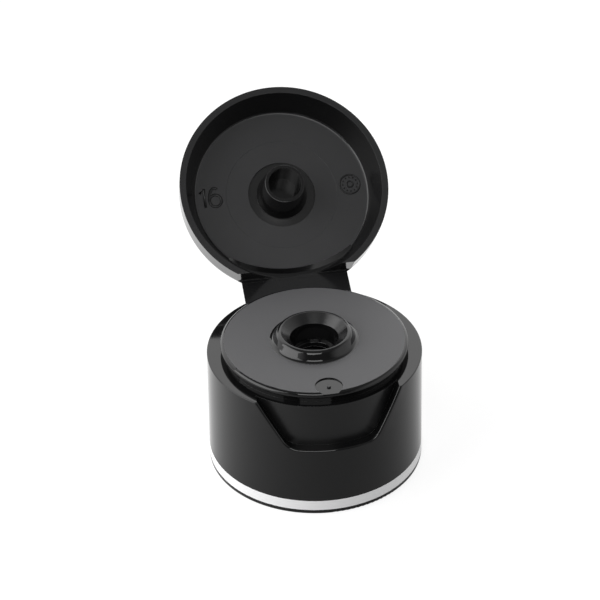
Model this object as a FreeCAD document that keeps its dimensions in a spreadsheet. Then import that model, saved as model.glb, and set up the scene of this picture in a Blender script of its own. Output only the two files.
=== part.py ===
"""Flip top closure for a squeeze bottle, shown with its lid open.

One polypropylene moulding: a round cap body with a raised deck and a spout,
a flat hinge strap with a thin film at each end, and a hollow lid with a
tubular plug.  A foil band runs round the foot of the body.

Millimetres and degrees, +Z up, the foot of the body on Z = 0.  The hinge is
at +Y and the thumb notch at -Y.
"""
import FreeCAD, Part
import os
import re
import Sketcher

# name, value, what it sets
SIZES = [
    ("cap_radius", 16.5, "outer radius of the body at the shoulder"),
    ("skirt_draft", 0.16, "how much wider the body is at its foot"),
    ("skirt_wall", 0.8, "thickness of the outer skirt"),
    ("shoulder_height", 19.05, "foot to shoulder ring"),
    ("shoulder_wall", 1.0, "thickness of the shoulder ring"),
    ("shoulder_width", 2.1, "width of the shoulder ring, from the deck to its outer edge"),
    ("shoulder_round", 0.15, "round of the shoulder's outer edge"),
    ("foot_round", 0.2, "edge round at the foot"),
    ("deck_rise", 1.8, "deck above the shoulder ring"),
    ("deck_wall", 1.2, "thickness of the deck"),
    ("deck_round", 0.55, "round of the deck's outer edge"),
    ("drum_wall", 0.75, "thickness of the wall that carries the deck"),
    ("bead_height", 0.6, "height of the bead at the deck's edge"),
    ("undercut", 0.6, "how far the drum steps in under that bead"),
    ("collar_radius", 5.63, "outer radius of the collar round the spout, at its top"),
    ("collar_flare", 0.77, "how much wider the collar is at the deck"),
    ("collar_height", 1.45, "collar above the deck"),
    ("collar_round", 0.72, "round of the collar's outer edge"),
    ("collar_foot", 0.73, "hollow round where the collar meets the deck"),
    ("mouth_radius", 5.1, "radius of the funnel at its crisp edge"),
    ("funnel_depth", 1.2, "mouth to throat"),
    ("throat_radius", 3.72, "radius of the throat that the plug closes"),
    ("throat_taper", 0.25, "how much narrower the throat is at the ledge"),
    ("throat_depth", 4.05, "mouth to the ledge at the bottom of the throat"),
    ("ledge_wall", 0.8, "thickness of that ledge"),
    ("orifice_radius", 2.8, "radius of the hole in the ledge"),
    ("spout_round", 0.1, "round of the edges at the mouth, the throat and the orifice"),
    ("cup_wall", 0.9, "wall of the cup that hangs under the deck"),
    ("neck_radius", 13.95, "inner radius of the threaded skirt"),
    ("neck_wall", 1.05, "thickness of the threaded skirt"),
    ("neck_lift", 1.2, "foot of the threaded skirt above the cap's foot"),
    ("seal_radius", 10.3, "outer radius of the seal ring that enters the bottle"),
    ("seal_wall", 0.8, "thickness of the seal ring"),
    ("seal_depth", 3.0, "length of the seal ring"),
    ("thread_pitch", 4.23, "pitch of the bottle's thread"),
    ("thread_turns", 1.5, "turns of the thread"),
    ("thread_depth", 0.8, "how far the thread stands in"),
    ("thread_root", 1.6, "width of the thread at its root"),
    ("thread_crest", 0.7, "width of the thread at its crest"),
    ("thread_lift", 4.0, "start of the thread above the cap's foot"),
    ("notch_top_half", 10.75, "half width of the thumb notch at the shoulder"),
    ("notch_foot_half", 6.55, "half width of the thumb notch at its lip"),
    ("notch_lip", 11.9, "lip of the thumb notch above the cap's foot"),
    ("notch_wall", 0.8, "wall round the thumb notch"),
    ("notch_corner", 2.5, "round of the notch's lower corners"),
    ("notch_edge", 0.3, "round of the notch's outer edge"),
    ("gate_radius", 2.1, "radius of the sunk spot round the moulding gate"),
    ("gate_depth", 0.2, "depth of that spot"),
    ("gate_inset", 1.95, "gate's distance in from the deck's edge"),
    ("nub_radius", 0.3, "radius of the stub left by the gate"),
    ("nub_height", 0.25, "height of that stub"),
    ("band_lift", 0.72, "foil band above the cap's foot"),
    ("band_height", 1.71, "height of the foil band"),
    ("band_thick", 0.05, "thickness of the foil band and depth of its seat"),
    ("hinge_inset", 2.36, "hinge line's distance in from the shoulder's outer edge"),
    ("strap_length", 4.2, "length of the strap between its two films"),
    ("strap_width", 17.0, "width of the strap"),
    ("strap_thick", 0.8, "thickness of the strap"),
    ("film_thick", 0.3, "thickness of each film"),
    ("film_gap", 0.04, "clearance round each film's bead"),
    ("strap_gap", 0.15, "clearance between the strap and the cuts in the lid and the deck"),
    ("bevel_angle", 50.0, "angle of the four bevels beside the films"),
    ("window_half", 4.1, "half width of the slot sunk in the strap's inner face"),
    ("window_height", 1.1, "height of that slot"),
    ("window_lift", 0.35, "slot above the strap's lower film"),
    ("window_depth", 0.3, "depth of that slot"),
    ("facet_height", 3.0, "height of the flat under the hinge"),
    ("lid_overhang", 0.2, "how far the lid's rim stands out beyond the shoulder"),
    ("lid_height", 5.7, "height of the lid's edge"),
    ("lid_dome", 0.3, "rise of the lid's top at its centre"),
    ("lid_draft", 0.12, "how much narrower the lid is at its top"),
    ("lid_round", 2.4, "round of the lid's outer edge"),
    ("lid_depth", 4.62, "rim to the lid's inner floor"),
    ("lid_wall_slope", 1.63, "how much the lid's inner wall closes in from rim to floor"),
    ("lid_floor_round", 0.5, "round between the lid's floor and its wall"),
    ("rim_width", 1.02, "width of the lid's rim"),
    ("lid_gap", 0.06, "clearance between the shut lid's rim and the shoulder"),
    ("plug_length", 5.35, "length of the plug"),
    ("plug_flare", 0.33, "how much wider than the throat the plug is at its root"),
    ("plug_gap", 0.57, "clearance between the plug's tip and the throat"),
    ("plug_wall", 0.52, "thickness of the plug's wall at its tip"),
    ("plug_round", 0.15, "round of the plug's tip"),
    ("dish_radius", 5.4, "radius of the sunk ring round the plug"),
    ("dish_depth", 0.3, "depth of that ring"),
    ("step_radius", 9.0, "radius of the faint step in the lid's floor"),
    ("step_depth", 0.05, "depth of that step"),
    ("land_radius", 17.9, "radius of the curved front edge of the hinge land"),
    ("land_width", 1.74, "front edge of the hinge land to the hinge line"),
    ("land_slope", 1.1, "width of the hinge land's slope"),
    ("land_half_angle", 33.0, "half angle of the hinge land"),
    ("open_angle", 140.0, "how far the lid stands open, shared equally by the two films"),
]
NAMES = [row[0] for row in SIZES]

# heights and places that several pieces share, in terms of the sizes above
DECK_RADIUS = "(cap_radius - shoulder_width)"
DECK_TOP = "(shoulder_height + deck_rise)"
GATE = "(shoulder_width + gate_inset - cap_radius)"
DECK_UNDER = "(shoulder_height + deck_rise - deck_wall)"
DRUM_INNER = "(cap_radius - shoulder_width - undercut - drum_wall)"
HINGE = "(cap_radius - hinge_inset)"
MOUTH = "(shoulder_height + deck_rise + collar_height)"
LEDGE = "(shoulder_height + deck_rise + collar_height - throat_depth)"
SHOULDER_UNDER = "(shoulder_height - shoulder_wall)"
NECK_OUTER = "(neck_radius + neck_wall)"
STRAP_OUTER = "(strap_thick - film_thick / 2)"
BEVEL_RISE = "((strap_thick - film_thick / 2) * tan(bevel_angle))"
LOWER_FILM = "(shoulder_height - film_thick / 2)"
UPPER_FILM = "(strap_length - film_thick / 2 - lid_gap)"
LID_RADIUS = "(cap_radius + lid_overhang)"
LID_FLOOR = "(cap_radius + lid_overhang - rim_width - lid_wall_slope)"
LID_TOP = "(lid_height + lid_dome)"
FAR = "(2 * cap_radius)"

doc = FreeCAD.newDocument("flip_top_cap")
sheet = doc.addObject("Spreadsheet::Sheet", "sizes")
for line, (name, value, note) in enumerate(SIZES, start=1):
    sheet.set("A%d" % line, name)
    sheet.set("B%d" % line, str(value))
    sheet.set("C%d" % line, note)
    sheet.setAlias("B%d" % line, name)
doc.recompute()


def bound(text):
    """An expression in the sheet's names, written as FreeCAD reads it."""
    return re.sub(r"\b(%s)\b" % "|".join(NAMES), r"sizes.\1", text)


def size(name):
    """The number that the sheet holds under this name."""
    return float(sheet.get(name))


def new_body(label):
    piece = doc.addObject("PartDesign::Body", label)
    piece.Label = label
    return piece


def new_sketch(piece, name, role, shift=None):
    """An empty sketch on one of the body's origin planes, shifted along the sketch's own axes."""
    sketch = piece.newObject("Sketcher::SketchObject", name)
    plane = [item for item in piece.Origin.OriginFeatures if item.Role == role][0]
    sketch.AttachmentSupport = [(plane, "")]
    sketch.MapMode = "FlatFace"
    for axis, text in (shift or {}).items():
        sketch.setExpression("AttachmentOffset.Base." + axis, bound(text))
    return sketch


def pin_point(sketch, geometry, place, across, up, start=(1.0, 1.0)):
    """Hold one point of a sketch at two coordinates, each bound to the sheet."""
    for kind, text, now in (("DistanceX", across, start[0]), ("DistanceY", up, start[1])):
        index = sketch.addConstraint(Sketcher.Constraint(kind, -1, 1, geometry, place, now))
        sketch.setExpression("Constraints[%d]" % index, bound(text))


def outline(piece, name, role, corners, shift=None):
    """A closed outline of straight edges through the given corners."""
    sketch = new_sketch(piece, name, role, shift)
    count = len(corners)
    start = [FreeCAD.Rotation(FreeCAD.Vector(0, 0, 1), 360.0 * turn / count).multVec(FreeCAD.Vector(9, 0, 0))
             for turn in range(count)]
    for turn in range(count):
        sketch.addGeometry(Part.LineSegment(start[turn], start[(turn + 1) % count]), False)
    for turn in range(count):
        sketch.addConstraint(Sketcher.Constraint("Coincident", turn, 2, (turn + 1) % count, 1))
    for turn, (across, up) in enumerate(corners):
        pin_point(sketch, turn, 1, across, up)
    return sketch


def disc(piece, name, role, centre, radius, shift=None):
    """A circle whose centre and radius are bound to the sheet."""
    sketch = new_sketch(piece, name, role, shift)
    sketch.addGeometry(Part.Circle(FreeCAD.Vector(1, 1, 0), FreeCAD.Vector(0, 0, 1), 1.0), False)
    pin_point(sketch, 0, 3, *centre)
    index = sketch.addConstraint(Sketcher.Constraint("Radius", 0, 1.0))
    sketch.setExpression("Constraints[%d]" % index, bound(radius))
    return sketch


def turned(piece, kind, name, sketch, sweep=None):
    """A Revolution or a Groove about the sketch's upright axis."""
    feature = piece.newObject("PartDesign::" + kind, name)
    feature.Profile = sketch
    feature.ReferenceAxis = (sketch, ["V_Axis"])
    feature.Angle = 360.0
    if sweep:
        feature.Midplane = True
        feature.setExpression("Angle", bound(sweep))
    return feature


def pushed(piece, kind, name, sketch, length, both_ways=False, reverse=False):
    """A Pad or a Pocket of the given length."""
    feature = piece.newObject("PartDesign::" + kind, name)
    feature.Profile = sketch
    feature.setExpression("Length", bound(length))
    feature.SideType = "Symmetric" if both_ways else "One side"
    feature.Reversed = reverse
    return feature


def rounded(piece, name, radius, wanted):
    """A Fillet on the edges of the body's tip for which wanted(edge) is true."""
    doc.recompute()
    base = piece.Tip
    names = ["Edge%d" % number for number, edge in enumerate(base.Shape.Edges, start=1)
             if not edge.Degenerated and wanted(edge)]
    if not names:
        raise RuntimeError("%s found no edge to round" % name)
    feature = piece.newObject("PartDesign::Fillet", name)
    feature.Base = (base, names)
    feature.setExpression("Radius", bound(radius))
    return feature


def ring_at(radius, height, slack=0.005):
    """A test for circular edges about the Z axis at this radius and height."""
    def test(edge):
        curve = edge.Curve
        return (isinstance(curve, Part.Circle)
                and abs(curve.Radius - radius) < slack
                and abs(curve.Center.z - height) < slack
                and FreeCAD.Vector(curve.Center.x, curve.Center.y, 0).Length < slack)
    return test


def skirt_radius(height):
    """The outer surface's radius at a height, as an expression."""
    return "(cap_radius + skirt_draft * (1 - (%s) / shoulder_height))" % height


def build_cap_body():
    """Skirt, shoulder, deck, spout and threaded neck, with the notch and the hinge's root."""
    piece = new_body("cap_body")
    height = size("shoulder_height")
    deck_top = height + size("deck_rise")
    deck_radius = size("cap_radius") - size("shoulder_width")

    # skirt, shoulder, drum and deck as one thin wall
    turned(piece, "Revolution", "shell", outline(piece, "shell_section", "XZ_Plane", [
        ("cap_radius + skirt_draft", "0"),
        ("cap_radius", "shoulder_height"),
        (DECK_RADIUS + " - undercut", "shoulder_height"),
        (DECK_RADIUS + " - undercut", DECK_TOP + " - bead_height - undercut"),
        (DECK_RADIUS, DECK_TOP + " - bead_height"),
        (DECK_RADIUS, DECK_TOP),
        ("0", DECK_TOP),
        ("0", DECK_UNDER),
        (DRUM_INNER, DECK_UNDER),
        (DRUM_INNER, SHOULDER_UNDER),
        ("cap_radius - skirt_wall", SHOULDER_UNDER),
        ("cap_radius + skirt_draft - skirt_wall", "0")]))
    rounded(piece, "deck_edge", "deck_round", ring_at(deck_radius, deck_top))
    rounded(piece, "foot_edge", "foot_round", ring_at(size("cap_radius") + size("skirt_draft"), 0.0))

    # solid blocks that close the skirt behind the thumb notch and the hinge flat
    pushed(piece, "Pad", "notch_block", outline(piece, "notch_block_face", "XZ_Plane", [
        ("-notch_top_half - notch_wall", "shoulder_height"),
        ("-notch_foot_half - notch_wall", "notch_lip - notch_wall"),
        ("notch_foot_half + notch_wall", "notch_lip - notch_wall"),
        ("notch_top_half + notch_wall", "shoulder_height")]), FAR)
    pushed(piece, "Pad", "hinge_block", outline(piece, "hinge_block_face", "XZ_Plane", [
        ("-strap_width / 2 - skirt_wall", "shoulder_height"),
        ("-strap_width / 2 - skirt_wall", "shoulder_height - facet_height - shoulder_wall"),
        ("strap_width / 2 + skirt_wall", "shoulder_height - facet_height - shoulder_wall"),
        ("strap_width / 2 + skirt_wall", "shoulder_height")]), FAR, reverse=True)
    turned(piece, "Groove", "trim_blocks", outline(piece, "trim_section", "XZ_Plane", [
        (skirt_radius("notch_lip / 2"), "notch_lip / 2"),
        ("cap_radius", "shoulder_height"),
        ("3 * cap_radius", "shoulder_height"),
        ("3 * cap_radius", "notch_lip / 2")]))

    # thumb notch, cut through to the neck
    pushed(piece, "Pocket", "notch", outline(piece, "notch_face", "XZ_Plane", [
        ("-notch_top_half", "shoulder_height"),
        ("-notch_foot_half", "notch_lip"),
        ("notch_foot_half", "notch_lip"),
        ("notch_top_half", "shoulder_height")]), FAR, reverse=True)

    def notch_corner(edge):
        ends = [vertex.Point for vertex in edge.Vertexes]
        return (len(ends) == 2
                and all(abs(point.z - size("notch_lip")) < 0.005 for point in ends)
                and all(abs(abs(point.x) - size("notch_foot_half")) < 0.005 for point in ends)
                and all(point.y < 0.005 for point in ends)
                and abs(ends[0].x - ends[1].x) < 0.005)
    rounded(piece, "notch_corners", "notch_corner", notch_corner)

    def notch_rim(edge):
        middle = edge.valueAt((edge.FirstParameter + edge.LastParameter) / 2)
        reach = FreeCAD.Vector(middle.x, middle.y, 0).Length
        surface = size("cap_radius") + size("skirt_draft") * (1 - middle.z / height)
        return (middle.y < 0 and abs(reach - surface) < 0.01
                and size("notch_lip") - 0.01 < middle.z < height - 0.01
                and abs(middle.x) < size("notch_top_half"))
    rounded(piece, "notch_rim", "notch_edge", notch_rim)
    rounded(piece, "shoulder_edge", "shoulder_round", ring_at(size("cap_radius"), height))

    # threaded neck, which is also the notch's back wall
    turned(piece, "Revolution", "neck", outline(piece, "neck_section", "XZ_Plane", [
        ("neck_radius", "neck_lift"),
        (NECK_OUTER, "neck_lift"),
        (NECK_OUTER, "shoulder_height"),
        (DRUM_INNER, "shoulder_height"),
        (DRUM_INNER, SHOULDER_UNDER),
        ("neck_radius", SHOULDER_UNDER)]))
    turned(piece, "Groove", "neck_bore", outline(piece, "neck_bore_section", "XZ_Plane", [
        ("0", "-neck_lift"),
        ("neck_radius", "-neck_lift"),
        ("neck_radius", SHOULDER_UNDER),
        (DRUM_INNER, SHOULDER_UNDER),
        (DRUM_INNER, DECK_UNDER),
        ("0", DECK_UNDER)]))

    # flat and bevel under the hinge, and the seat of the lower film
    clear = HINGE + " - film_thick / 2 - film_gap"
    pushed(piece, "Pocket", "hinge_flat", outline(piece, "hinge_flat_side", "YZ_Plane", [
        (clear, LOWER_FILM),
        (HINGE, LOWER_FILM),
        (HINGE + " + " + STRAP_OUTER, LOWER_FILM + " - " + BEVEL_RISE),
        (HINGE + " + " + STRAP_OUTER, "shoulder_height - facet_height"),
        (FAR, "shoulder_height - facet_height"),
        (FAR, "shoulder_height + film_thick"),
        (clear, "shoulder_height + film_thick")]), FAR, both_ways=True)
    pushed(piece, "Pocket", "film_seat", disc(piece, "film_seat_circle", "YZ_Plane",
           (HINGE, LOWER_FILM), "film_thick / 2 + film_gap"), FAR, both_ways=True)

    # flat across the deck's rear edge, where the strap stands when the lid is shut
    behind = HINGE + " - film_thick / 2 - strap_gap"
    pushed(piece, "Pocket", "strap_relief", outline(piece, "strap_relief_side", "YZ_Plane", [
        (behind, "shoulder_height"),
        (behind, DECK_TOP + " + deck_rise"),
        (FAR, DECK_TOP + " + deck_rise"),
        (FAR, "shoulder_height")]), FAR, both_ways=True)

    # spout: collar above the deck, cup below it, funnel, throat and orifice through both
    turned(piece, "Revolution", "collar", outline(piece, "collar_section", "XZ_Plane", [
        ("0", DECK_TOP + " - deck_wall / 2"),
        ("collar_radius + collar_flare", DECK_TOP + " - deck_wall / 2"),
        ("collar_radius + collar_flare", DECK_TOP),
        ("collar_radius", MOUTH),
        ("0", MOUTH)]))
    rounded(piece, "collar_edge", "collar_round",
            ring_at(size("collar_radius"), deck_top + size("collar_height")))
    rounded(piece, "collar_root", "collar_foot",
            ring_at(size("collar_radius") + size("collar_flare"), deck_top))
    turned(piece, "Revolution", "cup", outline(piece, "cup_section", "XZ_Plane", [
        ("0", LEDGE + " - ledge_wall"),
        ("throat_radius + cup_wall", LEDGE + " - ledge_wall"),
        ("throat_radius + cup_wall", DECK_UNDER + " + deck_wall / 2"),
        ("0", DECK_UNDER + " + deck_wall / 2")]))
    turned(piece, "Groove", "spout", outline(piece, "spout_section", "XZ_Plane", [
        ("0", LEDGE + " - 2 * ledge_wall"),
        ("orifice_radius", LEDGE + " - 2 * ledge_wall"),
        ("orifice_radius", LEDGE),
        ("throat_radius - throat_taper", LEDGE),
        ("throat_radius", MOUTH + " - funnel_depth"),
        ("mouth_radius", MOUTH),
        ("mouth_radius", MOUTH + " + collar_height"),
        ("0", MOUTH + " + collar_height")]))
    mouth = deck_top + size("collar_height")
    spout_edges = [ring_at(size("mouth_radius"), mouth),
                   ring_at(size("throat_radius"), mouth - size("funnel_depth")),
                   ring_at(size("orifice_radius"), mouth - size("throat_depth"))]
    rounded(piece, "spout_edges", "spout_round", lambda edge: any(test(edge) for test in spout_edges))

    # seal ring that enters the bottle's mouth
    turned(piece, "Revolution", "seal_ring", outline(piece, "seal_section", "XZ_Plane", [
        ("seal_radius - seal_wall", DECK_UNDER + " - seal_depth"),
        ("seal_radius - seal_wall / 3", DECK_UNDER + " - seal_depth"),
        ("seal_radius", DECK_UNDER + " - seal_depth * 2 / 3"),
        ("seal_radius", DECK_UNDER + " + deck_wall / 2"),
        ("seal_radius - seal_wall", DECK_UNDER + " + deck_wall / 2")]))

    # sunk spot and stub of the moulding gate, near the front of the deck
    pushed(piece, "Pocket", "gate_spot", disc(piece, "gate_spot_circle", "XY_Plane",
           ("0", GATE), "gate_radius", {"z": DECK_TOP}), "gate_depth")
    pushed(piece, "Pad", "gate_nub", disc(piece, "gate_nub_circle", "XY_Plane",
           ("0", GATE), "nub_radius", {"z": DECK_TOP + " - gate_depth"}), "nub_height")

    # seat of the foil band
    turned(piece, "Groove", "band_seat", outline(piece, "band_seat_section", "XZ_Plane", [
        (skirt_radius("band_lift") + " - band_thick", "band_lift"),
        (skirt_radius("band_lift") + " + skirt_wall", "band_lift"),
        (skirt_radius("band_lift + band_height") + " + skirt_wall", "band_lift + band_height"),
        (skirt_radius("band_lift + band_height") + " - band_thick", "band_lift + band_height")]))

    # one-start thread inside the neck
    thread = piece.newObject("PartDesign::AdditiveHelix", "thread")
    ridge = outline(piece, "thread_section", "XZ_Plane", [
        ("neck_radius + neck_wall / 3", "thread_lift - thread_root / 2"),
        ("neck_radius + neck_wall / 3", "thread_lift + thread_root / 2"),
        ("neck_radius - thread_depth", "thread_lift + thread_crest / 2"),
        ("neck_radius - thread_depth", "thread_lift - thread_crest / 2")])
    thread.Profile = ridge
    thread.ReferenceAxis = (ridge, ["V_Axis"])
    thread.Mode = "pitch-turns-angle"
    thread.setExpression("Pitch", bound("thread_pitch"))
    thread.setExpression("Turns", bound("thread_turns"))
    return piece


def build_silver_band():
    """Foil laid flush in its seat near the foot of the skirt."""
    piece = new_body("silver_band")
    low = "band_lift"
    high = "band_lift + band_height"
    turned(piece, "Revolution", "foil", outline(piece, "foil_section", "XZ_Plane", [
        (skirt_radius(low) + " - band_thick", low),
        (skirt_radius(low), low),
        (skirt_radius(high), high),
        (skirt_radius(high) + " - band_thick", high)]))
    return piece


def build_hinge_strap():
    """Flat strap between two films.  Its own frame has the lower film's line at the
    origin and the strap standing up, as it does when the lid is shut."""
    piece = new_body("hinge_strap")
    pushed(piece, "Pad", "strap", outline(piece, "strap_side", "YZ_Plane", [
        ("-film_thick / 2", "0"),
        ("0", "0"),
        (STRAP_OUTER, BEVEL_RISE),
        (STRAP_OUTER, "strap_length - " + BEVEL_RISE),
        ("0", "strap_length"),
        ("-film_thick / 2", "strap_length")]), "strap_width", both_ways=True)
    for name, height in (("lower_film", "0"), ("upper_film", "strap_length")):
        pushed(piece, "Pad", name, disc(piece, name + "_circle", "YZ_Plane",
               ("0", height), "film_thick / 2"), "strap_width", both_ways=True)
    turned(piece, "Groove", "rounded_ends", outline(piece, "rounded_ends_section", "XZ_Plane", [
        ("cap_radius", "-strap_length"),
        (FAR, "-strap_length"),
        (FAR, "2 * strap_length"),
        ("cap_radius", "2 * strap_length")], {"z": HINGE}))
    pushed(piece, "Pocket", "slot", outline(piece, "slot_face", "XZ_Plane", [
        ("-window_half", "window_lift"),
        ("window_half", "window_lift"),
        ("window_half", "window_lift + window_height"),
        ("-window_half", "window_lift + window_height")],
        {"z": "film_thick / 2"}), "window_depth")
    half = "open_angle / 2"
    piece.Placement = FreeCAD.Placement(FreeCAD.Vector(), FreeCAD.Rotation(FreeCAD.Vector(-1, 0, 0), 1.0))
    piece.setExpression("Placement.Rotation.Angle", bound(half))
    piece.setExpression("Placement.Base.y", bound(HINGE))
    piece.setExpression("Placement.Base.z", bound(LOWER_FILM))
    return piece


def build_lid():
    """Hollow lid with its plug.  Its own frame is the shut lid's: the rim on Z = 0,
    the outer top above it, and the hinge at +Y."""
    piece = new_body("lid")
    rim_outer = size("cap_radius") + size("lid_overhang")
    rim_inner = rim_outer - size("rim_width")
    floor_radius = rim_inner - size("lid_wall_slope")
    outer_top = rim_outer - size("lid_draft")

    # shell, with a low arc over the top
    section = new_sketch(piece, "lid_section", "XZ_Plane")
    corners = [
        (LID_RADIUS + " - rim_width", "0"),
        (LID_RADIUS, "0"),
        (LID_RADIUS + " - lid_draft", "lid_height"),
        ("0", LID_TOP),
        ("0", "lid_depth"),
        (LID_FLOOR, "lid_depth")]
    top = size("lid_height") + size("lid_dome")
    start = [FreeCAD.Vector(*point) for point in (
        (rim_inner, 0), (rim_outer, 0), (outer_top, size("lid_height")),
        (0, top), (0, size("lid_depth")), (floor_radius, size("lid_depth")))]
    dome_radius = (outer_top ** 2 + size("lid_dome") ** 2) / (2 * size("lid_dome"))
    for turn in (0, 1):
        section.addGeometry(Part.LineSegment(start[turn], start[turn + 1]), False)
    dome = Part.Circle(FreeCAD.Vector(0, top - dome_radius, 0), FreeCAD.Vector(0, 0, 1), dome_radius)
    section.addGeometry(Part.ArcOfCircle(dome, dome.parameter(start[2]), dome.parameter(start[3])), False)
    for turn in (3, 4, 5):
        section.addGeometry(Part.LineSegment(start[turn], start[(turn + 1) % 6]), False)
    for turn in range(6):
        section.addConstraint(Sketcher.Constraint("Coincident", turn, 2, (turn + 1) % 6, 1))
    for turn, (across, up) in enumerate(corners):
        pin_point(section, turn, 1, across, up, (start[turn].x, start[turn].y))
    section.addConstraint(Sketcher.Constraint("PointOnObject", 2, 3, -2))
    turned(piece, "Revolution", "shell", section)
    rounded(piece, "outer_edge", "lid_round", ring_at(outer_top, size("lid_height")))
    rounded(piece, "floor_edge", "lid_floor_round", ring_at(floor_radius, size("lid_depth")))

    # plug, and the shallow steps round it in the floor
    root = "(throat_radius + plug_flare)"
    tip = "(throat_radius - plug_gap)"
    turned(piece, "Revolution", "plug", outline(piece, "plug_section", "XZ_Plane", [
        (tip + " - plug_wall", "lid_depth - plug_length"),
        (tip, "lid_depth - plug_length"),
        (root, "lid_depth"),
        (root, "lid_depth + step_depth + dish_depth"),
        (tip + " - plug_wall", "lid_depth + step_depth + dish_depth")]))
    tip_radius = size("throat_radius") - size("plug_gap")
    rounded(piece, "plug_tip", "plug_round", ring_at(tip_radius, size("lid_depth") - size("plug_length")))
    for name, edge, low, depth in (("floor_step", "step_radius", "lid_depth", "step_depth"),
                                   ("plug_dish", "dish_radius", "lid_depth", "step_depth + dish_depth")):
        turned(piece, "Groove", name, outline(piece, name + "_section", "XZ_Plane", [
            (root, low + " - step_depth"),
            (edge, low + " - step_depth"),
            (edge, low + " + " + depth),
            (root, low + " + " + depth)]))

    # sloped land that carries the upper film
    turned(piece, "Revolution", "hinge_land", outline(piece, "hinge_land_section", "YZ_Plane", [
        ("land_radius", "lid_depth"),
        ("land_radius + land_slope", UPPER_FILM),
        ("land_radius + land_slope + rim_width", UPPER_FILM),
        ("land_radius + land_slope + rim_width", "lid_depth + (lid_height - lid_depth) / 2"),
        ("land_radius", "lid_depth + (lid_height - lid_depth) / 2")],
        {"x": HINGE + " - land_width - land_radius"}), "2 * land_half_angle")

    # flat cut that takes the strap, with the upper film's bevel and seat
    clear = HINGE + " - film_thick / 2 - strap_gap"
    pushed(piece, "Pocket", "hinge_cut", outline(piece, "hinge_cut_side", "YZ_Plane", [
        (clear, "-plug_length"),
        (clear, UPPER_FILM),
        (HINGE, UPPER_FILM),
        (HINGE + " + " + STRAP_OUTER, UPPER_FILM + " + " + BEVEL_RISE),
        (HINGE + " + " + STRAP_OUTER, "2 * lid_height"),
        (FAR, "2 * lid_height"),
        (FAR, "-plug_length")]), FAR, both_ways=True)
    pushed(piece, "Pocket", "film_seat", disc(piece, "film_seat_circle", "YZ_Plane",
           (HINGE, UPPER_FILM), "film_thick / 2 + film_gap"), FAR, both_ways=True)

    # swung open: half of the angle about each film
    piece.Placement = FreeCAD.Placement(FreeCAD.Vector(), FreeCAD.Rotation(FreeCAD.Vector(-1, 0, 0), 1.0))
    piece.setExpression("Placement.Rotation.Angle", bound("open_angle"))
    piece.setExpression("Placement.Base.y", bound(
        "%s + strap_length * sin(open_angle / 2)"
        " - %s * cos(open_angle) - %s * sin(open_angle)" % (HINGE, HINGE, UPPER_FILM)))
    piece.setExpression("Placement.Base.z", bound(
        "%s + strap_length * cos(open_angle / 2)"
        " + %s * sin(open_angle) - %s * cos(open_angle)" % (LOWER_FILM, HINGE, UPPER_FILM)))
    return piece


def check(pieces):
    """Stop if anything failed, or if a cut took nothing away or a pad added nothing."""
    for item in doc.Objects:
        if "Invalid" in item.State or "Error" in item.State:
            raise RuntimeError("%s failed: %s" % (item.Name, item.State))
    for piece in pieces:
        if piece.Shape.isNull() or not piece.Shape.isValid() or len(piece.Shape.Solids) != 1:
            raise RuntimeError("%s isn't one valid solid" % piece.Label)
        before = 0.0
        for item in piece.Group:
            if item.isDerivedFrom("PartDesign::Feature"):
                volume = item.Shape.Volume
                takes = item.TypeId in ("PartDesign::Groove", "PartDesign::Pocket")
                gives = item.TypeId in ("PartDesign::Revolution", "PartDesign::Pad",
                                        "PartDesign::AdditiveHelix")
                if (takes and volume > before - 1e-4) or (gives and volume < before + 1e-4):
                    raise RuntimeError("%s of %s changed nothing" % (item.Name, piece.Label))
                before = volume


pieces = [build_cap_body(), build_silver_band(), build_hinge_strap(), build_lid()]
doc.recompute()
check(pieces)
os.makedirs("parts", exist_ok=True)
for piece in pieces:
    piece.Shape.exportStep("parts/%s.step" % piece.Label)
    box = piece.Shape.BoundBox
    print("%-12s %8.1f mm3   x %.2f %.2f   y %.2f %.2f   z %.2f %.2f" % (
        piece.Label, piece.Shape.Volume, box.XMin, box.XMax, box.YMin, box.YMax, box.ZMin, box.ZMax))
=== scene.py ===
"""Looks of the flip top cap: glossy black moulding, satin faces, silver foil and moulded marks."""
import math

import bmesh
import bpy
from mathutils import Matrix, Quaternion, Vector


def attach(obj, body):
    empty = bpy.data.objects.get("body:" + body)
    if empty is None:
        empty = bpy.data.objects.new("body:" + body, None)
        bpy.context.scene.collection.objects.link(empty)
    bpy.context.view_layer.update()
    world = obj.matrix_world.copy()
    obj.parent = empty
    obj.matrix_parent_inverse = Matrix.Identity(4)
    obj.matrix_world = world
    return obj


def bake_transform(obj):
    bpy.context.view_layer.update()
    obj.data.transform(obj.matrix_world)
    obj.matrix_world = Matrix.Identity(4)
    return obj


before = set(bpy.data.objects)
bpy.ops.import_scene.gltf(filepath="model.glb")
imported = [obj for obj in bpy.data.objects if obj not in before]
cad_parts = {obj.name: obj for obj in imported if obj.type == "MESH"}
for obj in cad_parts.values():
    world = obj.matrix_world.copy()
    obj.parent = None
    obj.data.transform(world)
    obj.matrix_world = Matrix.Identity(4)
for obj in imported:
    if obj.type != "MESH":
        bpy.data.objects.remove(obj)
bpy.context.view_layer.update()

MM = 0.001

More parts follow.
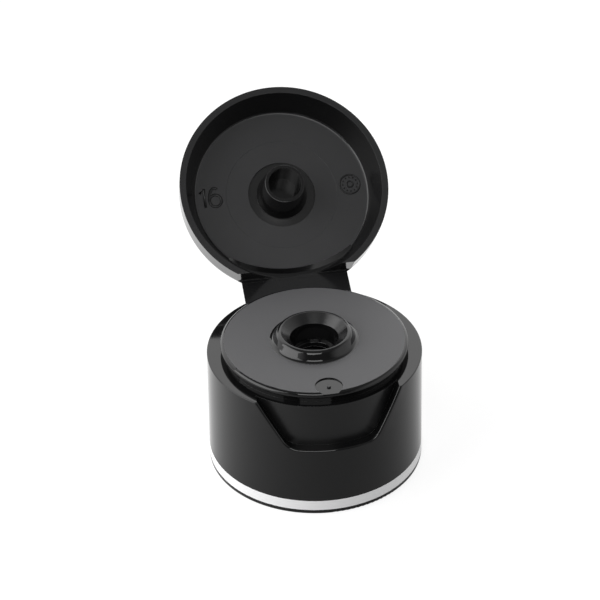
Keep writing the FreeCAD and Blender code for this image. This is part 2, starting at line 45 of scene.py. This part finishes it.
# driving dimensions of the closure, in millimetres
SHOULDER = 19.05        # shoulder above the foot
DECK_TOP = 20.85        # deck above the foot
DECK_FLAT = 13.87       # radius where the deck's edge starts to round
COLLAR_FOOT = 6.84      # radius where the collar meets the deck
FUNNEL_INNER = 3.6      # funnel's wall lies between these radii
FUNNEL_OUTER = 5.08
FUNNEL_LOW = 21.0       # and between these heights above the foot
FUNNEL_HIGH = 22.28
RECESS_RADIUS = 15.0    # wall behind the thumb notch
NOTCH_LIP = 11.9        # notch's lip above the foot
HINGE_REACH = 14.14     # lower film behind the cap's axis
LOWER_FILM = 18.9       # lower film above the foot
UPPER_FILM = 3.99       # upper film above the rim, in the lid's own frame
FILM_HALF = 0.15        # half the thickness of a film
STRAP_LENGTH = 4.2      # from film to film
LID_DEPTH = 4.62        # rim to the lid's inner floor
LID_FLOOR = 14.05       # radius of that floor
DISH_RADIUS = 5.4       # sunk ring round the plug
PLUG_RADIUS = 4.2       # everything of the plug lies inside it
PLUG_REACH = 1.2        # plug's tip beyond the rim
RIM_INNER = 15.68
RIM_OUTER = 16.7
OPEN_ANGLE = math.radians(140.0)


def lid_matrix():
    """From the shut lid's own frame, in millimetres, to the open lid's place in metres."""
    half = OPEN_ANGLE / 2
    turn = Matrix.Rotation(-OPEN_ANGLE, 4, "X")
    reach = HINGE_REACH + STRAP_LENGTH * math.sin(half)
    height = LOWER_FILM + STRAP_LENGTH * math.cos(half)
    film = turn @ Vector((0.0, HINGE_REACH, UPPER_FILM))
    place = Matrix.Translation(Vector((0.0, reach - film.y, height - film.z)))
    return Matrix.Scale(MM, 4) @ place @ turn


LID = lid_matrix()


# ---------------------------------------------------------------- node helpers
def fill_sockets(tree, made, values):
    """Link a node's inputs to sockets, or give them plain values."""
    for key, value in values.items():
        if isinstance(value, bpy.types.NodeSocket):
            tree.links.new(value, made.inputs[key])
        else:
            made.inputs[key].default_value = value


def add_node(tree, kind, values=None, **settings):
    """A shader node with its settings, links and plain values."""
    made = tree.nodes.new("ShaderNode" + kind)
    for name, value in settings.items():
        setattr(made, name, value)
    fill_sockets(tree, made, values or {})
    return made


def maths(tree, operation, *terms):
    """The output of a Math node whose terms are numbers or sockets."""
    values = dict(enumerate(terms))
    return add_node(tree, "Math", values, operation=operation).outputs[0]


def new_group(name, inputs, outputs):
    """An empty node group with named float and vector sockets."""
    tree = bpy.data.node_groups.new(name, "ShaderNodeTree")
    for label, kind, value in inputs:
        socket = tree.interface.new_socket(label, in_out="INPUT", socket_type="NodeSocket" + kind)
        if value is not None:
            socket.default_value = value
    for label, kind in outputs:
        tree.interface.new_socket(label, in_out="OUTPUT", socket_type="NodeSocket" + kind)
    return tree, tree.nodes.new("NodeGroupInput").outputs, tree.nodes.new("NodeGroupOutput").inputs


def place_group(tree, group, values):
    """The outputs of a node group, placed in a material with its own values."""
    made = tree.nodes.new("ShaderNodeGroup")
    made.node_tree = group
    fill_sockets(tree, made, values)
    return made.outputs


def per_metre(tree, size):
    """A noise scale that gives features of a size in millimetres."""
    return maths(tree, "DIVIDE", 1.0 / MM, size)


def in_metres(tree, size):
    """A length in millimetres as the shader's metres."""
    return maths(tree, "MULTIPLY", size, MM)


def scene_object(name, mesh):
    """A mesh set into the scene as an object."""
    made = bpy.data.objects.new(name, mesh)
    bpy.context.scene.collection.objects.link(made)
    return made


def mesh_from(work, name, material):
    """The finished mesh of a bmesh, with its faces turned outwards."""
    bmesh.ops.recalc_face_normals(work, faces=work.faces)
    mesh = bpy.data.meshes.new(name)
    work.to_mesh(mesh)
    work.free()
    mesh.materials.append(material)
    return mesh


# ---------------------------------------------------------------- shared finishes
def build_mould_texture():
    """Faint waviness and fine grain that a steel mould leaves, as a height."""
    tree, given, result = new_group("mould_texture", [
        ("Point", "Vector", None), ("Wave Size", "Float", 3.0), ("Grain Size", "Float", 0.08),
        ("Wave", "Float", 1.0), ("Grain", "Float", 0.0)],
        [("Height", "Float")])
    wave = add_node(tree, "TexNoise", {
        "Vector": given["Point"], "Scale": per_metre(tree, given["Wave Size"]),
        "Detail": 1.0, "Roughness": 0.4})
    grain = add_node(tree, "TexNoise", {
        "Vector": given["Point"], "Scale": per_metre(tree, given["Grain Size"]),
        "Detail": 2.0, "Roughness": 0.6})
    waves = maths(tree, "MULTIPLY", wave.outputs["Fac"], given["Wave"])
    grains = maths(tree, "MULTIPLY", grain.outputs["Fac"], given["Grain"])
    tree.links.new(maths(tree, "ADD", waves, grains), result["Height"])
    return tree


def build_handling_marks():
    """Hairline rubs and soft smudges from handling, as a mask from 0 to 1."""
    tree, given, result = new_group("handling_marks", [
        ("Point", "Vector", None), ("Smudge Size", "Float", 6.0)],
        [("Rubs", "Float"), ("Smudges", "Float")])
    smudge = add_node(tree, "TexNoise", {
        "Vector": given["Point"], "Scale": per_metre(tree, given["Smudge Size"]),
        "Detail": 4.0, "Roughness": 0.55, "Distortion": 0.4})
    smudges = add_node(tree, "MapRange", {
        "Value": smudge.outputs["Fac"], "From Min": 0.42, "From Max": 0.68})
    tree.links.new(smudges.outputs["Result"], result["Smudges"])
    hairs_per_metre = 9000.0
    total = None
    for turn, stretch in ((0.5, 60.0), (2.1, 90.0)):
        laid = add_node(tree, "Mapping", {
            "Vector": given["Point"], "Rotation": (turn, turn * 0.6, turn * 1.7),
            "Scale": (hairs_per_metre, hairs_per_metre / stretch, hairs_per_metre)})
        hair = add_node(tree, "TexNoise", {
            "Vector": laid.outputs["Vector"], "Scale": 1.0, "Detail": 1.0})
        line = add_node(tree, "MapRange", {
            "Value": hair.outputs["Fac"], "From Min": 0.70, "From Max": 0.80}).outputs["Result"]
        total = line if total is None else maths(tree, "MAXIMUM", total, line)
    tree.links.new(total, result["Rubs"])
    return tree


def build_turned_zone():
    """1 between two radii and two heights about an axis, in millimetres, and 0 elsewhere."""
    tree, given, result = new_group("turned_zone", [
        ("Point", "Vector", None), ("Centre", "Vector", (0, 0, 0)), ("Axis", "Vector", (0, 0, 1)),
        ("Inner", "Float", 0.0), ("Outer", "Float", 1.0), ("Low", "Float", -0.05),
        ("High", "Float", 0.05)],
        [("Mask", "Float")])
    offset = add_node(tree, "VectorMath", {
        0: given["Point"], 1: given["Centre"]}, operation="SUBTRACT").outputs[0]
    height = add_node(tree, "VectorMath", {
        0: offset, 1: given["Axis"]}, operation="DOT_PRODUCT").outputs["Value"]
    length = add_node(tree, "VectorMath", {0: offset}, operation="LENGTH").outputs["Value"]
    squares = maths(tree, "SUBTRACT", maths(tree, "MULTIPLY", length, length),
                    maths(tree, "MULTIPLY", height, height))
    radius = maths(tree, "SQRT", maths(tree, "MAXIMUM", squares, 0.0))
    above = maths(tree, "GREATER_THAN", height, in_metres(tree, given["Low"]))
    below = maths(tree, "LESS_THAN", height, in_metres(tree, given["High"]))
    inside = maths(tree, "LESS_THAN", radius, in_metres(tree, given["Outer"]))
    outside = maths(tree, "GREATER_THAN", radius, in_metres(tree, given["Inner"]))
    between = maths(tree, "MULTIPLY", inside, outside)
    tree.links.new(maths(tree, "MULTIPLY", maths(tree, "MULTIPLY", above, below), between),
                   result["Mask"])
    return tree


MOULD_TEXTURE = build_mould_texture()
HANDLING_MARKS = build_handling_marks()
TURNED_ZONE = build_turned_zone()

BLACK = 0.0045          # base tone of the polished moulding
BLUE_CAST = 1.04
PLASTIC_IOR = 1.49
SMUDGE_DULLS, RUB_DULLS, SMUDGE_PALES = 0.03, 0.02, 0.0006
TEXTURE_HEIGHT = 0.02


def black_polypropylene(name, zones=(), polish=0.05, tone=BLACK, edge=0.05):
    """Glossy black moulding.  A zone with its own roughness and tone is
    (centre, axis, inner, outer, low, high, roughness, tone).  A zone's tone well above the black is
    a painted sheen."""
    material = bpy.data.materials.new(name)
    material.use_nodes = True
    tree = material.node_tree
    shader = tree.nodes["Principled BSDF"]
    point = add_node(tree, "TexCoord").outputs["Object"]
    marks = place_group(tree, HANDLING_MARKS, {"Point": point})
    finish = maths(tree, "MULTIPLY_ADD", marks["Smudges"], SMUDGE_DULLS,
                   maths(tree, "MULTIPLY_ADD", marks["Rubs"], RUB_DULLS, polish))
    shade = maths(tree, "MULTIPLY_ADD", marks["Smudges"], SMUDGE_PALES, tone)
    satin = 0.0
    for centre, axis, inner, outer, low, high, zone_finish, zone_tone in zones:
        mask = place_group(tree, TURNED_ZONE, {
            "Point": point, "Centre": centre, "Axis": axis, "Inner": inner, "Outer": outer,
            "Low": low, "High": high})["Mask"]
        finish = maths(tree, "MULTIPLY_ADD", mask, zone_finish - polish, finish)
        # a zone's tone takes the place of the black; where it is much lighter, it is a painted
        # sheen
        shade = maths(tree, "MULTIPLY_ADD", mask, zone_tone - tone, shade)
        satin = maths(tree, "MAXIMUM", satin, mask)
    colour = add_node(tree, "CombineColor", {
        "Red": shade, "Green": shade, "Blue": maths(tree, "MULTIPLY", shade, BLUE_CAST)})
    tree.links.new(colour.outputs[0], shader.inputs["Base Color"])
    tree.links.new(finish, shader.inputs["Roughness"])
    height = place_group(tree, MOULD_TEXTURE, {"Point": point, "Grain": satin})["Height"]
    soft = add_node(tree, "Bevel", {"Radius": edge * MM}, samples=6)
    bump = add_node(tree, "Bump", {
        "Height": height, "Strength": 0.06, "Distance": TEXTURE_HEIGHT * MM,
        "Normal": soft.outputs[0]})
    tree.links.new(bump.outputs[0], shader.inputs["Normal"])
    shader.inputs["IOR"].default_value = PLASTIC_IOR
    return material


def silver_foil():
    """Bright foil with a slightly uneven gloss."""
    material = bpy.data.materials.new("silver_foil")
    material.use_nodes = True
    tree = material.node_tree
    shader = tree.nodes["Principled BSDF"]
    point = add_node(tree, "TexCoord").outputs["Object"]
    marks = place_group(tree, HANDLING_MARKS, {"Point": point, "Smudge Size": 3.0})
    shader.inputs["Base Color"].default_value = (0.985, 0.985, 0.99, 1.0)
    shader.inputs["Metallic"].default_value = 0.15
    finish = maths(tree, "ADD", maths(tree, "MULTIPLY", marks["Smudges"], 0.05), 0.36)
    tree.links.new(finish, shader.inputs["Roughness"])
    height = place_group(tree, MOULD_TEXTURE, {"Point": point, "Wave Size": 1.2})["Height"]
    bump = add_node(tree, "Bump", {
        "Height": height, "Strength": 0.05, "Distance": TEXTURE_HEIGHT * MM})
    tree.links.new(bump.outputs[0], shader.inputs["Normal"])
    return material


def dress(name, material):
    """Give a CAD node its finish."""
    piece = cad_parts[name]
    for turn in range(len(piece.material_slots)):
        piece.material_slots[turn].link = "OBJECT"
        piece.material_slots[turn].material = material


def zones_about(centre, axis, *zones):
    """Zones that share one axis, ready for black_polypropylene."""
    return [(centre, axis) + zone for zone in zones]


# each zone is (inner radius, outer radius, low, high, roughness, tone); the deck's, the lid floor's
# and the rim's tones are painted sheen, far lighter than the moulding's black, while the other
# tones stay close to it
cap_axis = (0.0, 0.0, 1.0)
lid_axis = tuple((LID.to_3x3() @ Vector(cap_axis)).normalized())
lid_rim_centre = tuple(LID @ Vector((0.0, 0.0, 0.0)))
# painted sheen: the deck's tone is far lighter than the moulding's black; its roughness is a real
# satin finish
satin_deck_painted_sheen = (COLLAR_FOOT, DECK_FLAT, DECK_TOP - 0.05, DECK_TOP + 0.05, 0.49, 0.08)
notch_wall = (RECESS_RADIUS - 0.1, RECESS_RADIUS + 0.1, NOTCH_LIP, SHOULDER - 0.1, 0.3, 0.006)
funnel_wall = (FUNNEL_INNER, FUNNEL_OUTER, FUNNEL_LOW, FUNNEL_HIGH, 0.22, 0.008)
# painted sheen: the lid floor's tone is lighter than the moulding's black; its roughness is a real
# satin finish
satin_lid_floor_painted_sheen = (DISH_RADIUS, LID_FLOOR, LID_DEPTH - 0.06, LID_DEPTH + 0.06, 0.34, 0.032)
# painted sheen: the rim's tone is lighter than the moulding's black
flat_rim_painted_sheen = (RIM_INNER, RIM_OUTER, -0.05, 0.05, 0.24, 0.018)
sunk_dish = (0.0, DISH_RADIUS, LID_DEPTH + 0.2, LID_DEPTH + 0.5, 0.3, 0.007)
plug_walls = (0.0, PLUG_RADIUS, -PLUG_REACH, LID_DEPTH + 0.2, 0.16, BLACK)
inner_wall = (LID_FLOOR, RIM_INNER + 0.05, 0.05, LID_DEPTH - 0.06, 0.22, BLACK)

black_body = black_polypropylene("black_body", zones_about(
    (0.0, 0.0, 0.0), cap_axis, satin_deck_painted_sheen, notch_wall, funnel_wall))
# the strap's tone, 0.011, is a painted sheen lighter than the moulding's black; the hinge webs
# share it
black_strap = black_polypropylene("black_strap", polish=0.22, tone=0.011)
black_lid = black_polypropylene("black_lid", zones_about(
    lid_rim_centre, lid_axis, satin_lid_floor_painted_sheen, flat_rim_painted_sheen, sunk_dish, plug_walls, inner_wall), polish=0.1)
# the marks' tone, a little darker than the moulding's black, is a painted shade
black_mark = black_polypropylene("black_mark", polish=0.42, tone=0.003, edge=0.02)
dress("cap_body", black_body)
dress("hinge_strap", black_strap)
dress("lid", black_lid)
dress("silver_band", silver_foil())


def mend_stray_normals(piece, limit=math.radians(20.0)):
    """Corners whose normal strays further than the limit from their facet's take the facet's.

    It is for the middle of the lid's dome, where half of the facets that meet in one point
    have such a normal.  Some corners of the lid's small rounds change with them."""
    mesh = piece.data
    normals = [Vector(corner.vector) for corner in mesh.corner_normals]
    for facet in mesh.polygons:
        for corner in facet.loop_indices:
            if normals[corner].angle(facet.normal, 0.0) > limit:
                normals[corner] = facet.normal.copy()
    mesh.normals_split_custom_set(normals)


mend_stray_normals(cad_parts["lid"])


# ---------------------------------------------------------------- films of the hinge
SKIN = 0.03             # how far a web stands over the solid it covers
WEB_DEPTH = 0.022       # thickness of the webs on the inner side of the hinge
INNER_HALF = 8.4        # half width of those webs
OUTER_HALF = 7.2        # half width of the webs on the outer side


def ribbon(name, profile, half_width, thickness, material):
    """A thin web along X.  The profile is its visible side as (y, z), in millimetres."""
    work = bmesh.new()
    rows = []
    for turn, (y, z) in enumerate(profile):
        before = profile[max(turn - 1, 0)]
        after = profile[min(turn + 1, len(profile) - 1)]
        run = Vector((after[0] - before[0], after[1] - before[1])).normalized()
        rows.append([
            [work.verts.new(Vector((side * half_width, y + run.y * depth, z - run.x * depth)) * MM)
             for side in (-1, 1)] for depth in (0.0, thickness)])
    for first, second in zip(rows, rows[1:]):
        work.faces.new((first[0][0], first[0][1], second[0][1], second[0][0]))
        work.faces.new((first[1][0], second[1][0], second[1][1], first[1][1]))
        for side in (0, 1):
            work.faces.new((first[0][side], second[0][side], second[1][side], first[1][side]))
    for end in (rows[0], rows[-1]):
        work.faces.new((end[0][0], end[0][1], end[1][1], end[1][0]))
    web = scene_object(name, mesh_from(work, name, material))
    return web


def polar(centre, reach, degrees):
    """The point at a distance and an angle from a film's line, in the plane across the hinge."""
    turn = math.radians(degrees)
    return (centre[0] + reach * math.cos(turn), centre[1] + reach * math.sin(turn))


def along(centre, run, out, degrees):
    """From a film's line, a step along one direction and then one square to it."""
    return polar(polar(centre, run, degrees), out, degrees + 90.0)


def blend_web(web):
    """Bake a web's placement into its mesh; the web is not bent."""
    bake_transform(web)


def build_films():
    """The films show as one smooth web on each side of the hinge's two lines."""
    tilt = math.degrees(OPEN_ANGLE) / 2
    rise = 90.0 - tilt
    lower = (HINGE_REACH, LOWER_FILM)
    upper = polar(lower, STRAP_LENGTH, rise)
    web = FILM_HALF + SKIN

    base_side = [(lower[0] + y, lower[1] + web) for y in (-0.27, -0.2, -0.14, -0.09)]
    strap_side = [along(lower, run, web, rise) for run in (0.05, 0.12, 0.2, 0.3, 0.4)]
    piece = ribbon("lower_film_inside", base_side + strap_side, INNER_HALF, WEB_DEPTH, black_strap)
    blend_web(piece)

    strap_side = [along(upper, run, web, rise) for run in (-0.4, -0.3, -0.2, -0.12, -0.05, 0.0)]
    bead = [polar(upper, web, angle) for angle in (95.0, 80.0, 66.0)]
    lid_side = [along(upper, run, SKIN, 2 * rise) for run in (0.19, 0.23, 0.28)]
    piece = ribbon("upper_film_inside", strap_side + bead + lid_side, INNER_HALF, WEB_DEPTH,
                   black_strap)
    blend_web(piece)

    # outside, each web lines the groove between two bevels
    groove, bevel_skin, reaches = 30.0, 0.02, (0.5, 0.38, 0.28, 0.22)
    for name, centre, first, bodies in (
            ("lower_film_outside", lower, -50.0, ("base", "strap")),
            ("upper_film_outside", upper, -50.0 - tilt, ("strap", "flap"))):
        last = first + groove
        profile = [along(centre, run, bevel_skin, first) for run in reaches]
        profile += [polar(centre, FILM_HALF + 0.04, first + turn) for turn in (10.0, 15.0, 20.0)]
        profile += [along(centre, run, -bevel_skin, last) for run in reversed(reaches)]
        piece = ribbon(name, profile, OUTER_HALF, -0.014, black_strap)
        blend_web(piece)


build_films()


# ---------------------------------------------------------------- moulded marks
# a ridge's section, as shares of its width and its height
RIDGE = [(-0.5, 0.25), (-0.4, -0.55), (-0.15, -1.0), (0.15, -1.0), (0.4, -0.55), (0.5, 0.25)]


def moulded_strokes(name, strokes, width=0.48, height=0.12):
    """Low ridges on the lid's floor.  Each stroke is a list of (x, y) in the lid's own frame."""
    work = bmesh.new()
    for stroke in strokes:
        closed = (Vector(stroke[0]) - Vector(stroke[-1])).length < 0.001
        points = [Vector(point) for point in (stroke[:-1] if closed else stroke)]
        count = len(points)
        rings = []
        for turn, point in enumerate(points):
            before = points[(turn - 1) % count] if closed or turn else point
            after = points[(turn + 1) % count] if closed or turn < count - 1 else point
            run = (after - before).normalized()
            rings.append([work.verts.new(LID @ Vector((
                point.x - run.y * across * width, point.y + run.x * across * width,
                LID_DEPTH + up * height))) for across, up in RIDGE])
        for first, second in zip(rings, rings[1:] + rings[:1] if closed else rings[1:]):
            for turn in range(len(RIDGE)):
                follow = (turn + 1) % len(RIDGE)
                work.faces.new((first[turn], first[follow], second[follow], second[turn]))
        if not closed:
            work.faces.new(rings[0])
            work.faces.new(rings[-1][::-1])
    mark = scene_object(name, mesh_from(work, name, black_mark))
    for face in mark.data.polygons:
        face.use_smooth = True
    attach(mark, "flap")


def arc(centre, across, up, first, last, steps=24):
    """Points of an ellipse's arc in degrees, where 90 points to the lid's front."""
    turns = [math.radians(first + (last - first) * turn / steps) for turn in range(steps + 1)]
    return [(centre[0] + across * math.cos(turn), centre[1] - up * math.sin(turn))
            for turn in turns]


def build_marks():
    """A cavity number on the left, and a plain setting dial of the mould on the right."""
    top, foot = -2.2, 0.95
    bowl_centre, bowl_half = (-10.75, -0.05), 0.95
    one = [(-13.15, top + 0.75), (-12.45, top), (-12.45, foot)]
    six_stem = arc(bowl_centre, bowl_half, 2.15, 62.0, 180.0)
    six_bowl = arc(bowl_centre, bowl_half, 1.0, 180.0, 540.0, 32)
    moulded_strokes("cavity_number", [one, six_stem, six_bowl])

    centre = (11.2, -0.55)
    dial = [arc(centre, 1.62, 1.62, 0.0, 360.0, 48), arc(centre, 0.5, 0.5, 0.0, 360.0, 24)]
    ticks = 12
    for turn in range(ticks):
        angle = math.radians(360 / ticks * turn)
        way = Vector((math.cos(angle), math.sin(angle)))
        dial.append([tuple(Vector(centre) + way * reach) for reach in (1.05, 1.3)])
    moulded_strokes("setting_dial", dial, width=0.3)


build_marks()


# ---------------------------------------------------------------- studio
CAMERA_EYE = (-50.5, -295.8, 231.9)
CAMERA_AIM = (-2.05, 0.34, 28.0)
CAMERA_ROLL = math.radians(-0.948)
SWEEP, SWEEP_TONE = 0.27, 1.75      # bright sweep behind the cap
TENT = [                            # (half turns over the cap from behind, tone)
    (0.0, SWEEP_TONE), (SWEEP, SWEEP_TONE), (0.33, 0.3), (0.42, 0.28),
    (0.54, 0.14), (0.62, 0.3), (0.70, 0.12), (1.0, 0.10)]
WHITE = (1.0, 1.0, 1.0, 1.0)
TABLE_GREY = (0.32, 0.32, 0.32, 1.0)
TABLE_GLOW = 0.78                   # with the grey lit by the lamps it comes to white
BEHIND, RIGHTWARD, MIDDLE = 0.42, -0.10, 0.79   # mirrored table: a painted glow whose tone goes by direction, brighter behind and dimmer in front


def place_camera():
    """A long lens in front, a little to the left and above."""
    data = bpy.data.cameras.new("camera")
    data.lens = 144.0
    data.sensor_width = 36.0
    camera = bpy.data.objects.new("camera", data)
    bpy.context.scene.collection.objects.link(camera)
    eye = Vector(CAMERA_EYE) * MM
    aim = Vector(CAMERA_AIM) * MM
    roll = Quaternion((0, 0, 1), CAMERA_ROLL)
    camera.rotation_mode = "QUATERNION"
    camera.rotation_quaternion = (aim - eye).to_track_quat("-Z", "Y") @ roll
    camera.location = eye
    data.clip_start = 0.01
    data.clip_end = 20.0
    bpy.context.scene.camera = camera


def softbox(name, direction, width, height, radiance, distance=600.0, aim=(0.0, 0.0, 20.0)):
    """A rectangular lamp, in millimetres, that faces the cap."""
    data = bpy.data.lights.new(name, "AREA")
    data.shape = "RECTANGLE"
    data.size = width * MM
    data.size_y = height * MM
    data.energy = radiance * math.pi * data.size * data.size_y
    lamp = bpy.data.objects.new(name, data)
    bpy.context.scene.collection.objects.link(lamp)
    way = Vector(direction).normalized()
    lamp.location = (Vector(aim) + way * distance) * MM
    lamp.rotation_mode = "QUATERNION"
    lamp.rotation_quaternion = (-way).to_track_quat("-Z", "Y")


def build_world():
    """A light tent: bright sweep behind, a dim gap overhead, and a darker front."""
    world = bpy.data.worlds.new("light_tent")
    bpy.context.scene.world = world
    world.use_nodes = True
    tree = world.node_tree
    tree.nodes.clear()
    look = add_node(tree, "TexCoord").outputs["Generated"]
    way = add_node(tree, "SeparateXYZ", {0: look}).outputs
    above = maths(tree, "MAXIMUM", way["Z"], 0.0)
    over = maths(tree, "DIVIDE", maths(tree, "ARCTAN2", above, way["Y"]), math.pi)
    ramp = add_node(tree, "ValToRGB", {"Fac": over})
    tones = ramp.color_ramp
    while len(tones.elements) < len(TENT):
        tones.elements.new(0.5)
    for element, (place, tone) in zip(tones.elements, TENT):
        element.position = place
        element.color = (tone, tone, tone, 1.0)
    sideways = add_node(tree, "MapRange", {
        "Value": maths(tree, "ABSOLUTE", way["X"]), "From Min": 0.45, "From Max": 0.9},
        interpolation_type="SMOOTHSTEP").outputs["Result"]
    side_tone = add_node(tree, "MapRange", {
        "Value": way["X"], "From Min": -1.0, "From Max": 1.0,
        "To Min": 1.1, "To Max": 0.8}).outputs["Result"]
    tone = add_node(tree, "Mix", {
        "Factor": sideways, "A": ramp.outputs["Color"], "B": side_tone}, data_type="FLOAT")
    tent = add_node(tree, "Background", {"Color": WHITE, "Strength": tone.outputs[0]})
    white = add_node(tree, "Background", {"Color": WHITE, "Strength": 1.0})
    seen = add_node(tree, "LightPath").outputs["Is Camera Ray"]
    both = add_node(tree, "MixShader", {0: seen, 1: tent.outputs[0], 2: white.outputs[0]})
    tree.links.new(both.outputs[0], tree.nodes.new("ShaderNodeOutputWorld").inputs[0])


def build_floor():
    """Pale table.  It looks white and keeps a soft shadow; in reflections and bounced light it is a
    painted glow, brighter behind and dimmer in front.
    """
    mesh = bpy.data.meshes.new("table")
    work = bmesh.new()
    bmesh.ops.create_grid(work, x_segments=1, y_segments=1, size=4.0)
    work.to_mesh(mesh)
    work.free()
    table = scene_object("table", mesh)
    table.location.z = -0.01 * MM
    material = bpy.data.materials.new("pale_table")
    mesh.materials.append(material)
    material.use_nodes = True
    tree = material.node_tree
    tree.nodes.clear()
    position = add_node(tree, "NewGeometry").outputs["Position"]
    flat = add_node(tree, "VectorMath", {
        0: position, 1: (1, 1, 0)}, operation="MULTIPLY").outputs[0]
    heading = add_node(tree, "VectorMath", {0: flat}, operation="NORMALIZE").outputs[0]
    way = add_node(tree, "SeparateXYZ", {0: heading}).outputs
    tone = maths(tree, "MULTIPLY_ADD", way["Y"], BEHIND,
                 maths(tree, "MULTIPLY_ADD", way["X"], RIGHTWARD, MIDDLE))
    # painted light: for rays other than the camera's the table glows, brighter behind and dimmer in
    # front
    mirrored = add_node(tree, "Emission", {"Color": WHITE, "Strength": tone})
    lit = add_node(tree, "BsdfDiffuse", {"Color": TABLE_GREY})
    glow = add_node(tree, "Emission", {"Color": WHITE, "Strength": TABLE_GLOW})
    looked_at = add_node(tree, "AddShader", {0: glow.outputs[0], 1: lit.outputs[0]})
    seen = add_node(tree, "LightPath").outputs["Is Camera Ray"]
    both = add_node(tree, "MixShader", {0: seen, 1: mirrored.outputs[0], 2: looked_at.outputs[0]})
    tree.links.new(both.outputs[0], tree.nodes.new("ShaderNodeOutputMaterial").inputs[0])


place_camera()
build_world()
build_floor()
softbox("left_softbox", direction=(-0.862, -0.083, 0.5), width=640, height=560, radiance=2.3)
softbox("front_softbox", direction=(-0.11, -0.68, 0.72), width=340, height=250, radiance=3.6)

bpy.context.scene.view_settings.view_transform = "Standard"
